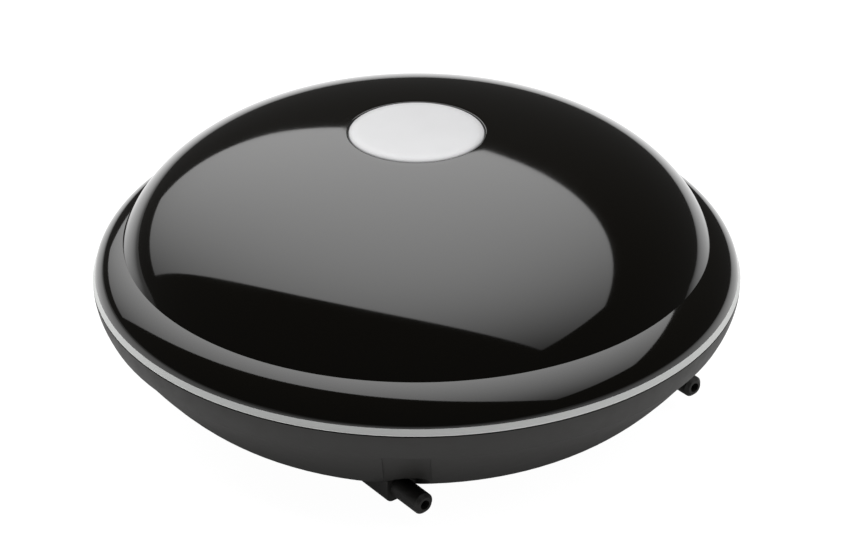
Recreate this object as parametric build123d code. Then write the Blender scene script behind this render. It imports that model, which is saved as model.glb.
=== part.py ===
from build123d import *
import os
from math import cos, radians, sin

# Aquarium air pump: a round, domed, free-standing case with a twin diaphragm pump inside.
# Frame: millimetres, origin on the pump's axis at the table, +Z up, air outlets towards -Y.

# ---- case ----
BODY_R = 80.0  # largest radius, at the trim ring's lower edge
RING_Z = 30.6  # trim ring's lower edge above the table
RING_HEIGHT, RING_EDGE_R = 1.6, 0.2
RIM_R = 79.3  # trim ring's upper edge, where the cover starts
CREASE_R, CREASE_RISE = 72.0, 9.15  # groove line between the dome and its shoulder
POLE_RISE = 36.3  # top of the dome above the ring's lower edge
BAND_R, BAND_DROP = 78.0, 7.0  # lower edge of the band under the ring
BAND_STEP = 0.5  # how far the bowl is set in under the band
BOWL_TOP_GAP = 0.25  # the bowl starts this far below the band
BOWL_DROP = 27.6  # flat underside below the ring's lower edge
UNDERSIDE_R = 52.2
COVER_WALL = 2.0
BASE_WALL = 2.2
SHADOW_GAP = 0.3  # open line between the ring and the base

RING_TOP = RING_Z + RING_HEIGHT
CREASE_Z = RING_Z + CREASE_RISE
POLE_Z = RING_Z + POLE_RISE
UNDERSIDE_Z = RING_Z - BOWL_DROP  # the foot ring fills the space below
FLOOR_Z = UNDERSIDE_Z + BASE_WALL  # inner face of the base's floor
TONGUE_R = 73.6  # inner radius of the base's upstanding tongue
TONGUE_WALL = 1.8
TONGUE_TOP = RING_Z + 2.4
SEAL_HEIGHT = 1.0

# ---- button, its guide and its board ----
BUTTON_R = 16.4
BUTTON_TRAVEL = 1.0
BUTTON_HOLE_R = BUTTON_R + 0.3
BUTTON_BOTTOM = POLE_Z - 9.0
BUTTON_SKIN = 1.6
BUTTON_PROUD = 0.1  # the button's middle above the dome's own pole
BUTTON_CROWN, BUTTON_BEVEL = 0.4, 0.7
RUNNING_GAP = 0.1  # radial clearance between sliding pieces
GUIDE_WALL = 2.0
GUIDE_TOP = POLE_Z - 3.4
GUIDE_FLOOR = POLE_Z - 10.4  # upper face of the guide's floor
GUIDE_FLOOR_THICKNESS = 1.5
LUG_COUNT = 3
BOARD_TOP = POLE_Z - 13.9
BOARD_R, BOARD_THICKNESS = 19.0, 1.6
SWITCH_SIDE, SWITCH_HEIGHT = 6.0, 3.5
PLUNGER_R, PLUNGER_HEIGHT = 1.7, 1.4
EAR_R = 23.0  # screw circle of the guide's ears
LED_COUNT, LED_CIRCLE_R, LED_R = 4, 10.5, 1.2

# ---- pump mechanism ----
MECH_Z = 28.0  # height of the core, the arms and the pump heads
PLATE_BOTTOM, PLATE_THICKNESS = 10.0, 2.5
PLATE_TOP = PLATE_BOTTOM + PLATE_THICKNESS
CORE_Y = 14.0
CORE_SIDE, CORE_LENGTH = 14.0, 54.0
BOBBIN_LENGTH, BOBBIN_FLANGE = 38.0, 30.0
STRAP_X, STRAP_WIDTH, STRAP_THICKNESS = 23.0, 5.0, 0.8
PIVOT_X, PIVOT_Y = 33.0, 40.0
PIN_R = 1.5
ARM_X, ARM_THICKNESS, ARM_HEIGHT = 33.0, 2.0, 16.0
MAGNET_SIDE, MAGNET_THICKNESS = 12.0, 3.0
HEAD_Y = -4.0
HEAD_SIDE = 30.0
BRACKET_X, BRACKET_THICKNESS = 36.4, 2.2  # inner face of the plate that carries a pump head
DIAPHRAGM_R, DIAPHRAGM_THICKNESS = 14.0, 1.2
ROLL_R = 9.1  # middle of the diaphragm's flexing roll
CHAMBER_R, CHAMBER_DEPTH = 10.0, 3.4
HEAD_THICKNESS = 5.4
VALVE_PLATE_THICKNESS = 1.6
FLAP_R, FLAP_THICKNESS = 3.2, 0.5
PORT_OFFSET, PORT_R = 5.5, 1.8
HEAD_COVER_THICKNESS = 8.0
HEAD_SCREW_OFFSET = 12.0
HUB_R = 7.0

DIAPHRAGM_X = BRACKET_X + BRACKET_THICKNESS
HEAD_X = DIAPHRAGM_X + DIAPHRAGM_THICKNESS
VALVE_X = HEAD_X + HEAD_THICKNESS
HEAD_COVER_X = VALVE_X + VALVE_PLATE_THICKNESS
HEAD_END_X = HEAD_COVER_X + HEAD_COVER_THICKNESS

# ---- air path ----
OUTLET_X = 41.6
OUTLET_Z = 6.6
OUTLET_END_Y = -58.0
OUTLET_R, OUTLET_BORE_R = 2.65, 1.2
INSERT_R = 3.0  # the thicker end of an outlet, inside its boss
OUTLET_CHAMFER = 0.8
BOSS_SIDE, BOSS_CORNER_R = 7.2, 1.8  # squarish boss that the outlet stands out of
BOSS_END_Y = -48.2
TUBING_ROOM_R = 5.0  # scoop in the bowl round each outlet, for the airline tubing
INSERT_END_Y = -45.0  # inner end of the outlet insert
SPIGOT_Y = -41.0
SPIGOT_R, SPIGOT_BORE_R = 2.5, 1.5
SPIGOT_TOP = 16.0
HOSE_WALL, HOSE_GRIP = 1.5, 5.0  # how far the hose goes over the spigot
PAD_WIDTH, PAD_LENGTH, PAD_DEPTH = 11.0, 18.0, 0.3  # shallow flat over each outlet
PAD_BEARING, PAD_LEAN = 51.1, 38.0  # from the X axis, and from the vertical
PAD_CUT = 10.0  # thickness of the block that cuts a pad
NIPPLE_X = HEAD_COVER_X + 3.4
NIPPLE_Z = MECH_Z + PORT_OFFSET
NIPPLE_END_Y = HEAD_Y - HEAD_SIDE / 2 - 6.0

# ---- underside ----
FOOT_CIRCLE_R, FOOT_WIDTH = 39.5, 7.0
FOOT_STEM_R = 2.2
FOOT_CHANNELS, CHANNEL_WIDTH, CHANNEL_HEIGHT = 8, 5.0, 1.4
FILTER_R, FILTER_COVER_R, FILTER_COVER_THICKNESS = 15.0, 17.0, 1.2
FILTER_BOX_TOP = 9.6
PILLAR_R = 4.5
PILLAR_TOP = 34.0
PILLARS = [(0.0, -47.0), (18.0, 46.0), (-18.0, 46.0)]
SCREW_SEAT_Z = 26.0
MOUNTS = [(27.0, -14.0), (-27.0, -14.0), (42.0, 20.0), (-42.0, 20.0)]

# ---- mains cord ----
CORD_R = 2.5
CORD_Z = 12.5
CORD_BOSS_R, CORD_BOSS_Y, CORD_BOSS_LENGTH = 6.5, 77.0, 17.0
RELIEF_R, RELIEF_FLANGE_R = 4.2, 5.0
PLUG_HEIGHT, PLUG_WIDTH, PLUG_LENGTH = 13.7, 35.3, 34.0
PLUG_PIN_R, PLUG_PIN_LENGTH, PLUG_PIN_SPACING = 2.0, 19.0, 18.6
PLUG_RADIUS, PLUG_BEARING = 106.0, 53.0  # where the plug lies behind the pump


# ---------------------------------------------------------------- helpers
def outline(*edges):
    """A filled outline of edges drawn as (radius, height), standing in the XZ plane."""
    return Plane.XZ * make_face(Wire(list(edges)).edges())


def turned(*edges):
    """A solid of revolution about the pump's axis."""
    return revolve(outline(*edges), Axis.Z)


def turned_polygon(*points):
    return turned(*Polyline(*points, close=True).edges())


def post(x, y, bottom, top, radius):
    """An upright cylinder."""
    return Pos(x, y, (bottom + top) / 2) * Cylinder(radius, top - bottom)


def tube(x, y, bottom, top, radius, bore):
    return post(x, y, bottom, top, radius) - post(x, y, bottom - 1, top + 1, bore)


def rod_x(x0, x1, y, z, radius):
    """A cylinder lying along X."""
    return Pos((x0 + x1) / 2, y, z) * Rot(0, 90, 0) * Cylinder(radius, abs(x1 - x0))


def rod_y(x, y0, y1, z, radius):
    """A cylinder lying along Y."""
    return Pos(x, (y0 + y1) / 2, z) * Rot(90, 0, 0) * Cylinder(radius, abs(y1 - y0))


def block(x0, x1, y0, y1, z0, z1):
    return Pos((x0 + x1) / 2, (y0 + y1) / 2, (z0 + z1) / 2) * Box(x1 - x0, y1 - y0, z1 - z0)


def around(count, radius, start=0.0):
    """Points spaced evenly on a circle about the axis, with their bearings in degrees."""
    for number in range(count):
        bearing = start + number * 360.0 / count
        yield radius * cos(radians(bearing)), radius * sin(radians(bearing)), bearing


def both_sides(right):
    """The right-hand piece and its mirror image."""
    return [right, mirror(right, about=Plane.YZ)]


def sweep_round(path, radius, bore=0.0):
    """A round cable or hose along a path."""
    section = Plane(origin=path @ 0, z_dir=path % 0) * Circle(radius)
    if bore:
        section -= Plane(origin=path @ 0, z_dir=path % 0) * Circle(bore)
    return sweep(section, path=path)


def screw(x, y, top, length, shank, head, head_height):
    """A round-headed screw driven down, with a cross slot in its head."""
    body = post(x, y, top - length, top, shank) + post(x, y, top, top + head_height, head)
    slot = block(-head * 0.6, head * 0.6, -0.3, 0.3, 0, 2)
    recess = Pos(x, y, top + head_height * 0.45) * (slot + Rot(0, 0, 90) * slot)
    return body - recess


# ---------------------------------------------------------------- case
def cover_profile(inset=0.0):
    """The cover's lip, shoulder and dome as (radius, height) curves, moved inwards by an inset."""
    rim = (RIM_R - inset, RING_TOP)
    lip_bend = (RIM_R - inset, RING_TOP + 0.21 - 0.05 * inset)
    knee = (RIM_R - 0.24 - 0.95 * inset, RING_TOP + 0.96 - 0.31 * inset)
    low_swell = (RIM_R - 1.12 - 0.86 * inset, RING_TOP + 3.71 - 0.6 * inset)
    high_swell = (CREASE_R + 3.17 - 0.45 * inset, CREASE_Z - 0.98 - 0.9 * inset)
    crease = (CREASE_R - 0.72 * inset, CREASE_Z - 0.82 * inset)
    haunch = (CREASE_R - 8.1 - 0.75 * inset, CREASE_Z + 17.65 - 0.65 * inset)
    crown = (0.48 * BODY_R, POLE_Z - inset)
    pole = (0, POLE_Z - inset)
    lip = Bezier(rim, lip_bend, knee)
    shoulder = Bezier(knee, low_swell, high_swell, crease)
    return lip, shoulder, Bezier(crease, haunch, crown, pole)


def cover_body():
    """The cover's outer form, filled."""
    lip, shoulder, dome = cover_profile()
    floor = (0, RING_TOP)
    return turned(lip, shoulder, dome, Line(dome @ 1, floor), Line(floor, lip @ 0))


def cover_skin():
    """The cover as an even wall."""
    lip, shoulder, dome = cover_profile()
    inner_lip, inner_shoulder, inner_dome = cover_profile(COVER_WALL)
    pole_wall = Line(dome @ 1, inner_dome @ 1)
    rim_wall = Line(inner_lip @ 0, lip @ 0)
    return turned(lip, shoulder, dome, pole_wall, inner_dome, inner_shoulder, inner_lip, rim_wall)


def make_top_cover():
    body = cover_body()
    shell = cover_skin()
    shell += tube(0, 0, TONGUE_TOP + SEAL_HEIGHT, CREASE_Z, 74.8, 74.2) & body
    for x, y in PILLARS:
        shell += post(x, y, PILLAR_TOP + 0.1, POLE_Z, 4.0) & body
        shell -= post(x, y, PILLAR_TOP, PILLAR_TOP + 12.0, 1.3)
    for x, y, _ in around(LUG_COUNT, EAR_R, 90):
        shell += post(x, y, GUIDE_TOP - 4.0, POLE_Z, 3.0) & body
        shell -= post(x, y, GUIDE_TOP - 5.0, GUIDE_TOP - 0.5, 1.0)
    return shell - post(0, 0, GUIDE_TOP, POLE_Z + 1, BUTTON_HOLE_R)


def make_trim_ring():
    inner = TONGUE_R + TONGUE_WALL + 0.6
    ring = turned_polygon((inner, RING_Z), (BODY_R, RING_Z), (RIM_R, RING_TOP), (inner, RING_TOP))
    lower_edge = ring.edges().filter_by(GeomType.CIRCLE).sort_by(SortBy.RADIUS)[-1]
    return fillet(lower_edge, RING_EDGE_R)


def bowl_curve(inset=0.0):
    """The bowl below the band as a (radius, height) curve, moved inwards by an inset."""
    top = (BAND_R - BAND_STEP - 0.81 * inset, RING_Z - BAND_DROP - BOWL_TOP_GAP + 0.58 * inset)
    side = (68.2 - 0.75 * inset, RING_Z - 20.3 + 0.6 * inset)
    turn = (61.8 - 0.3 * inset, UNDERSIDE_Z + inset)
    return Bezier(top, side, turn, (UNDERSIDE_R, UNDERSIDE_Z + inset))


def bowl_skin():
    """The base as an even wall: band, set-in step, bowl and flat underside."""
    lip = (BODY_R - 0.15, RING_Z - SHADOW_GAP)
    inner_lip = (lip[0] - BASE_WALL, lip[1])
    band_low = (BAND_R, RING_Z - BAND_DROP)
    bowl, inner_bowl = bowl_curve(), bowl_curve(BASE_WALL)
    centre, inner_centre = (0, UNDERSIDE_Z), (0, FLOOR_Z)
    return turned(
        Bezier(lip, (lip[0], lip[1] - 3.0), band_low),
        Line(band_low, bowl @ 0),
        bowl,
        Line(bowl @ 1, centre),
        Line(centre, inner_centre),
        Line(inner_centre, inner_bowl @ 1),
        inner_bowl,
        Line(inner_bowl @ 0, inner_lip),
        Line(inner_lip, lip),
    )


def outlet_pad(side):
    """The block that cuts a shallow flat into the bowl, from the band down to an outlet."""
    bearing = -PAD_BEARING if side > 0 else PAD_BEARING - 180
    top = Rot(0, 0, bearing) * Pos(BAND_R - BAND_STEP, 0, RING_Z - BAND_DROP - BOWL_TOP_GAP)
    inward = Rot(0, PAD_LEAN, 0) * Pos(PAD_CUT / 2 - PAD_DEPTH, 0, -PAD_LENGTH / 2)
    return top * inward * Box(PAD_CUT, PAD_WIDTH, PAD_LENGTH)


def make_base_shell():
    shell = bowl_skin()
    tongue_out = TONGUE_R + TONGUE_WALL
    lip_z = RING_Z - SHADOW_GAP
    shell += turned_polygon(
        (79.0, lip_z),
        (79.0, RING_Z),
        (tongue_out, RING_Z),
        (tongue_out, TONGUE_TOP),
        (TONGUE_R, TONGUE_TOP),
        (TONGUE_R, lip_z - 2.0),
        (77.4, lip_z - 5.0),
        (78.2, lip_z - 5.0),
    )
    for side in (1, -1):
        shell = add_outlet(shell, side * OUTLET_X)
    shell = add_pillars(shell)
    shell = add_filter_box(shell)
    for x, y in MOUNTS:
        shell += post(x, y, FLOOR_Z - 0.5, PLATE_BOTTOM - 1.0, 1.4)
    for x, y, _ in around(4, FOOT_CIRCLE_R, 45):
        shell -= post(x, y, UNDERSIDE_Z - 1, FLOOR_Z + 1, FOOT_STEM_R)
    inner_end = CORD_BOSS_Y - CORD_BOSS_LENGTH
    shell += rod_y(0, inner_end, CORD_BOSS_Y, CORD_Z, CORD_BOSS_R)
    return shell - rod_y(0, inner_end - 2.0, CORD_BOSS_Y + 2.0, CORD_Z, RELIEF_R)


def add_outlet(shell, x):
    """An outlet boss, the spigot inside it and the passage that joins them."""
    half = BOSS_SIDE / 2
    boss = block(x - half, x + half, BOSS_END_Y, SPIGOT_Y + 3.5, OUTLET_Z - half, OUTLET_Z + half)
    boss = fillet(boss.edges().filter_by(Axis.Y), BOSS_CORNER_R)
    shell += fillet(boss.faces().sort_by(Axis.Y)[0].edges(), 0.35)
    shell += post(x, SPIGOT_Y, OUTLET_Z, 9.0, 4.2)
    shell += post(x, SPIGOT_Y, 8.0, SPIGOT_TOP, SPIGOT_R)
    shell -= outlet_pad(1 if x > 0 else -1)
    shell -= rod_y(x, INSERT_END_Y, BOSS_END_Y, OUTLET_Z, INSERT_R)
    shell -= rod_y(x, BOSS_END_Y, OUTLET_END_Y, OUTLET_Z, TUBING_ROOM_R)
    shell -= rod_y(x, SPIGOT_Y - SPIGOT_BORE_R, INSERT_END_Y - 1, OUTLET_Z, SPIGOT_BORE_R)
    return shell - post(x, SPIGOT_Y, OUTLET_Z - SPIGOT_BORE_R, SPIGOT_TOP + 1, SPIGOT_BORE_R)


def add_pillars(shell):
    """Hollow pillars that the case screws go up through."""
    for x, y in PILLARS:
        shell += post(x, y, UNDERSIDE_Z, PILLAR_TOP, PILLAR_R)
        shell -= post(x, y, UNDERSIDE_Z - 1, SCREW_SEAT_Z, 3.1)
        shell -= post(x, y, SCREW_SEAT_Z - 1, PILLAR_TOP + 1, 1.6)
    return shell


def add_filter_box(shell):
    """The air intake: a hole in the floor with a perforated box above it."""
    shell += post(0, 0, UNDERSIDE_Z, FILTER_BOX_TOP, FILTER_R + 1.5)
    shell -= post(0, 0, UNDERSIDE_Z - 1, FILTER_BOX_TOP - 1.0, FILTER_R)
    for x, y, _ in around(6, 9.0):
        shell -= post(x, y, FILTER_BOX_TOP - 2, FILTER_BOX_TOP + 1, 2.5)
    return shell - post(0, 0, UNDERSIDE_Z - 1, UNDERSIDE_Z + FILTER_COVER_THICKNESS, FILTER_COVER_R + 0.2)


def make_cover_seal():
    return tube(0, 0, TONGUE_TOP, TONGUE_TOP + SEAL_HEIGHT, TONGUE_R + 1.6, TONGUE_R + 0.2)


def make_case_screws():
    """Three screws driven upwards from the underside."""
    one = Rot(180, 0, 0) * screw(0, 0, 0, 18.0, 1.3, 2.8, 2.0)
    return [Pos(x, y, SCREW_SEAT_Z) * one for x, y in PILLARS]


# ---------------------------------------------------------------- underside
def make_foot_ring():
    """A soft ring that the pump stands on. Channels across its top let air in to the filter."""
    outer, inner = FOOT_CIRCLE_R + FOOT_WIDTH / 2, FOOT_CIRCLE_R - FOOT_WIDTH / 2
    ring = tube(0, 0, 0, UNDERSIDE_Z, outer, inner)
    floor_edges = ring.edges().filter_by(GeomType.CIRCLE).group_by(Axis.Z)[0]
    ring = fillet(floor_edges, 0.9)
    channel = Box(2 * FOOT_WIDTH, CHANNEL_WIDTH, 2 * CHANNEL_HEIGHT)
    for x, y, bearing in around(FOOT_CHANNELS, FOOT_CIRCLE_R, 22.5):
        ring -= Pos(x, y, UNDERSIDE_Z) * Rot(0, 0, bearing) * channel
    for x, y, _ in around(4, FOOT_CIRCLE_R, 45):
        ring += post(x, y, UNDERSIDE_Z, FLOOR_Z, FOOT_STEM_R)
        ring += Pos(x, y, FLOOR_Z + 0.9) * Cone(3.0, 1.8, 1.8)
    return ring


def make_filter_cover():
    """A snap-in grille under the filter."""
    top = UNDERSIDE_Z + FILTER_COVER_THICKNESS
    cover = post(0, 0, UNDERSIDE_Z, top, FILTER_COVER_R)
    cover += tube(0, 0, top, top + 1.2, FILTER_R - 0.1, FILTER_R - 1.4)
    for number in range(-3, 4):
        length = 20.0 - 2.0 * abs(number)
        slot = Pos(0, 3.2 * number, UNDERSIDE_Z) * Box(length, 1.4, 4.0)
        cover -= slot
    return cover


def make_filter_felt():
    return post(0, 0, UNDERSIDE_Z + 2.5, FILTER_BOX_TOP - 1.1, FILTER_R - 0.3)


# ---------------------------------------------------------------- button and board
def make_push_button():
    """A crowned cap with a guiding skirt, stop lugs and a stem over the switch."""
    top = (0, POLE_Z + BUTTON_PROUD)
    crown_edge = (BUTTON_R - BUTTON_BEVEL, POLE_Z - BUTTON_CROWN)
    crown = ThreePointArc(top, (BUTTON_R / 2, POLE_Z + BUTTON_PROUD - BUTTON_CROWN / 3), crown_edge)
    bevel_end = (BUTTON_R, crown_edge[1] - BUTTON_BEVEL)
    cap = turned(
        crown,
        Bezier(crown_edge, (BUTTON_R - 0.15, crown_edge[1] - 0.05), bevel_end),
        Line(bevel_end, (BUTTON_R, BUTTON_BOTTOM)),
        Line((BUTTON_R, BUTTON_BOTTOM), (0, BUTTON_BOTTOM)),
        Line((0, BUTTON_BOTTOM), top),
    )
    hollow_top = POLE_Z - 0.5 - BUTTON_SKIN
    cap -= post(0, 0, BUTTON_BOTTOM - 1, hollow_top, BUTTON_R - 1.6)
    cap += post(0, 0, BOARD_TOP + SWITCH_HEIGHT + PLUNGER_HEIGHT, hollow_top, 2.2)
    for _, _, bearing in around(LUG_COUNT, 1.0, 30):
        catch = block(BUTTON_R - 1.0, BUTTON_R + 1.3, -2, 2, BUTTON_BOTTOM, BUTTON_BOTTOM + 1.2)
        cap += Rot(0, 0, bearing) * catch
    return cap


def make_button_guide():
    """A cup under the cover that guides the button and carries the board."""
    bore = BUTTON_R + RUNNING_GAP
    outer = bore + GUIDE_WALL
    floor_bottom = GUIDE_FLOOR - GUIDE_FLOOR_THICKNESS
    guide = tube(0, 0, floor_bottom, GUIDE_TOP, outer, bore)
    guide += tube(0, 0, floor_bottom, GUIDE_FLOOR, outer, 4.6)
    for x, y, _ in around(LED_COUNT, LED_CIRCLE_R, 45):
        guide -= post(x, y, floor_bottom - 1, GUIDE_FLOOR + 1, LED_R + 0.5)
    slot_top = BUTTON_BOTTOM + 1.3
    for _, _, bearing in around(LUG_COUNT, 1.0, 30):
        guide -= Rot(0, 0, bearing) * block(bore - 1, outer + 1, -2.3, 2.3, GUIDE_FLOOR + 0.2, slot_top)
    ear_top = GUIDE_TOP - 4.0
    for x, y, bearing in around(LUG_COUNT, EAR_R, 90):
        ear = post(x, y, ear_top - 2.0, ear_top, 3.2)
        ear += Rot(0, 0, bearing) * block(bore + 1, EAR_R, -3.2, 3.2, ear_top - 2.0, ear_top)
        guide += ear
        guide -= post(x, y, ear_top - 3.0, ear_top + 1.0, 1.25)
    for x, y, _ in around(LUG_COUNT, 14.5, 90):
        guide += post(x, y, BOARD_TOP, floor_bottom, 2.4)
        guide -= post(x, y, BOARD_TOP - 1, BOARD_TOP + 2.0, 0.9)
    return guide


def make_button_spring():
    """A compression spring between the guide's floor and the button."""
    bottom = GUIDE_FLOOR + 0.35
    length = POLE_Z - 0.5 - BUTTON_SKIN - 0.35 - bottom
    coil = Helix(pitch=length / 4.0, height=length, radius=6.2)
    section = Plane(origin=coil @ 0, z_dir=coil % 0) * Circle(0.3)
    return Pos(0, 0, bottom) * sweep(section, path=coil, is_frenet=True)


def make_control_board():
    bottom = BOARD_TOP - BOARD_THICKNESS
    board = post(0, 0, bottom, BOARD_TOP, BOARD_R)
    for x, y, _ in around(LUG_COUNT, 14.5, 90):
        board -= post(x, y, bottom - 1, BOARD_TOP + 1, 1.1)
    return board


def make_board_parts():
    """Components soldered under the board: a capacitor, a driver chip and the cord terminals."""
    bottom = BOARD_TOP - BOARD_THICKNESS
    capacitor = post(-7.0, -5.0, bottom - 6.0, bottom, 4.0)
    chip = block(3.0, 9.0, -7.0, -2.5, bottom - 1.6, bottom)
    terminals = block(-6.0, 6.0, 6.5, 11.0, bottom - 5.0, bottom)
    return [capacitor, chip, terminals]


def make_tact_switch():
    half = SWITCH_SIDE / 2
    body = block(-half, half, -half, half, BOARD_TOP, BOARD_TOP + SWITCH_HEIGHT)
    body = chamfer(body.edges().filter_by(Axis.Z), 0.4)
    top = BOARD_TOP + SWITCH_HEIGHT
    return body - post(0, 0, top - BUTTON_TRAVEL - 0.6, top + 1, PLUNGER_R + RUNNING_GAP)


def make_switch_plunger():
    top = BOARD_TOP + SWITCH_HEIGHT
    return post(0, 0, top - 0.5, top + PLUNGER_HEIGHT, PLUNGER_R)


def make_status_leds():
    """Four lamps that light the button's white cap from below."""
    leds = []
    for x, y, _ in around(LED_COUNT, LED_CIRCLE_R, 45):
        lens = post(x, y, BOARD_TOP, BOARD_TOP + 2.4, LED_R)
        leds.append(fillet(lens.edges().sort_by(Axis.Z)[-1], 0.6))
    return leds


def make_guide_screws():
    seat = GUIDE_TOP - 6.0
    one = Rot(180, 0, 0) * screw(0, 0, 0, 5.0, 1.0, 2.2, 1.5)
    return [Pos(x, y, seat) * one for x, y, _ in around(LUG_COUNT, EAR_R, 90)]


def make_board_screws():
    seat = BOARD_TOP - BOARD_THICKNESS
    one = Rot(180, 0, 0) * screw(0, 0, 0, 3.2, 0.9, 1.9, 1.3)
    return [Pos(x, y, seat) * one for x, y, _ in around(LUG_COUNT, 14.5, 90)]


# ---------------------------------------------------------------- electromagnet and frame
def make_laminated_core():
    """A bar of stacked steel sheets; its two ends are the magnet poles."""
    half = CORE_SIDE / 2
    core = Pos(0, CORE_Y, MECH_Z) * Box(CORE_LENGTH, CORE_SIDE, CORE_SIDE)
    sheets = 10
    for number in range(1, sheets):
        y = CORE_Y - half + number * CORE_SIDE / sheets
        for z in (MECH_Z - half, MECH_Z + half):
            core -= Pos(0, y, z) * Box(CORE_LENGTH + 1, 0.2, 0.3)
    return core


def make_coil_bobbin():
    inner, outer = CORE_SIDE + 0.2, CORE_SIDE + 2.6
    bobbin = Pos(0, CORE_Y, MECH_Z) * Box(BOBBIN_LENGTH, outer, outer)
    for x in (-1, 1):
        cheek = Pos(x * (BOBBIN_LENGTH / 2 - 0.8), CORE_Y, MECH_Z) * Box(1.6, BOBBIN_FLANGE, BOBBIN_FLANGE)
        bobbin += fillet(cheek.edges().filter_by(Axis.X), 3.0)
    return bobbin - Pos(0, CORE_Y, MECH_Z) * Box(BOBBIN_LENGTH + 2, inner, inner)


def make_coil_winding():
    """The copper winding under its tape, between the bobbin's cheeks."""
    length = BOBBIN_LENGTH - 3.2
    side = BOBBIN_FLANGE - 3.0
    winding = Pos(0, CORE_Y, MECH_Z) * Box(length, side, side)
    winding = fillet(winding.edges().filter_by(Axis.X), 4.0)
    hole = CORE_SIDE + 2.6
    return winding - Pos(0, CORE_Y, MECH_Z) * Box(length + 2, hole, hole)


def make_pump_frame():
    """The sprung plate that carries the core, the arms and both pump heads."""
    plate = block(-58, 58, HEAD_Y - HEAD_SIDE / 2, PIVOT_Y + 5, PLATE_BOTTOM, PLATE_TOP)
    plate &= post(0, 0, PLATE_BOTTOM, PLATE_TOP, 60.0)
    for x, y in PILLARS:
        plate -= post(x, y, PLATE_BOTTOM - 1, PLATE_TOP + 1, PILLAR_R + 1.0)
    for x, y in MOUNTS:
        plate -= post(x, y, PLATE_BOTTOM - 1, PLATE_TOP + 1, 2.4)
    core_bottom = MECH_Z - CORE_SIDE / 2
    for side in (1, -1):
        x = side * STRAP_X
        half = STRAP_WIDTH / 2
        plate += block(x - half, x + half, CORE_Y - 7, CORE_Y + 7, PLATE_TOP, core_bottom)
        for y in (CORE_Y - 11, CORE_Y + 11):
            plate -= post(x, y, PLATE_BOTTOM - 1, PLATE_TOP + 1, 1.1)
        plate += post(side * PIVOT_X, PIVOT_Y, PLATE_TOP, MECH_Z - ARM_HEIGHT / 2 - 0.1, 4.5)
        plate -= post(side * PIVOT_X, PIVOT_Y, PLATE_BOTTOM, MECH_Z, PIN_R)
        plate += head_bracket(side)
    return plate


def head_bracket(side):
    """An upright wall with a round window that a pump head bolts to."""
    x = side * (BRACKET_X + BRACKET_THICKNESS / 2)
    wall = Pos(x, HEAD_Y, MECH_Z) * Box(BRACKET_THICKNESS, HEAD_SIDE, HEAD_SIDE)
    wall += Pos(x, HEAD_Y, PLATE_TOP + 1) * Box(BRACKET_THICKNESS, HEAD_SIDE, 2.0)
    wall -= rod_x(x - 2, x + 2, HEAD_Y, MECH_Z, 11.4)
    for y, z in head_screw_places():
        wall -= rod_x(x - 2, x + 2, y, z, 1.0)
    return wall


def head_screw_places():
    for y in (HEAD_Y - HEAD_SCREW_OFFSET, HEAD_Y + HEAD_SCREW_OFFSET):
        for z in (MECH_Z - HEAD_SCREW_OFFSET, MECH_Z + HEAD_SCREW_OFFSET):
            yield y, z


def make_frame_mounts():
    """Soft rubber posts that keep the mechanism's hum out of the case."""
    mounts = []
    for x, y in MOUNTS:
        mount = tube(x, y, FLOOR_Z, PLATE_BOTTOM, 4.2, 1.45)
        mount += tube(x, y, PLATE_BOTTOM, PLATE_TOP, 2.35, 1.45)
        mount += Pos(x, y, PLATE_TOP + 0.75) * Cone(3.2, 2.2, 1.5)
        mounts.append(mount)
    return mounts


def make_core_straps():
    """Two bent steel straps that hold the core down on its cradles."""
    inner = CORE_SIDE / 2 + 0.1
    outer = inner + STRAP_THICKNESS
    top = MECH_Z + CORE_SIDE / 2 + 0.1
    half = STRAP_WIDTH / 2
    straps = []
    for x in (STRAP_X, -STRAP_X):
        strap = block(x - half, x + half, CORE_Y - outer, CORE_Y + outer, PLATE_TOP, top + STRAP_THICKNESS)
        strap -= block(x - half - 1, x + half + 1, CORE_Y - inner, CORE_Y + inner, PLATE_TOP - 1, top)
        for side in (1, -1):
            foot_y = CORE_Y + side * 11.0
            flange = Box(STRAP_WIDTH, 6.4, STRAP_THICKNESS)
            strap += Pos(x, foot_y, PLATE_TOP + STRAP_THICKNESS / 2) * flange
            strap -= post(x, foot_y, PLATE_TOP - 1, PLATE_TOP + 2, 1.2)
        straps.append(strap)
    return straps


def make_strap_screws():
    seat = PLATE_TOP + STRAP_THICKNESS
    places = [(side * STRAP_X, CORE_Y + end * 11.0) for side in (1, -1) for end in (1, -1)]
    return [screw(x, y, seat, 3.0, 1.1, 2.1, 1.4) for x, y in places]


# ---------------------------------------------------------------- swing arms and pump heads
def make_swing_arm():
    """The right-hand lever: pivot boss at the back, magnet seat, hub eye at the front."""
    half = ARM_HEIGHT / 2
    front = HEAD_Y - 5.0
    inner_x, outer_x = ARM_X - ARM_THICKNESS / 2, ARM_X + ARM_THICKNESS / 2
    arm = block(inner_x, outer_x, front, PIVOT_Y, MECH_Z - half, MECH_Z + half)
    arm = chamfer(arm.edges().filter_by(Axis.X).group_by(Axis.Y)[0], 3.0)
    arm += post(PIVOT_X, PIVOT_Y, MECH_Z - half, MECH_Z + half, 3.6)
    arm -= post(PIVOT_X, PIVOT_Y, MECH_Z - half - 1, MECH_Z + half + 1, PIN_R + 0.05)
    return arm - rod_x(inner_x - 1, outer_x + 1, HEAD_Y, MECH_Z, 2.0)


def make_arm_magnet():
    face = ARM_X - ARM_THICKNESS / 2
    half = MAGNET_SIDE / 2
    back = face - MAGNET_THICKNESS
    magnet = block(back, face, CORE_Y - half, CORE_Y + half, MECH_Z - half, MECH_Z + half)
    return chamfer(magnet.faces().sort_by(Axis.X)[0].edges(), 0.4)


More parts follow.
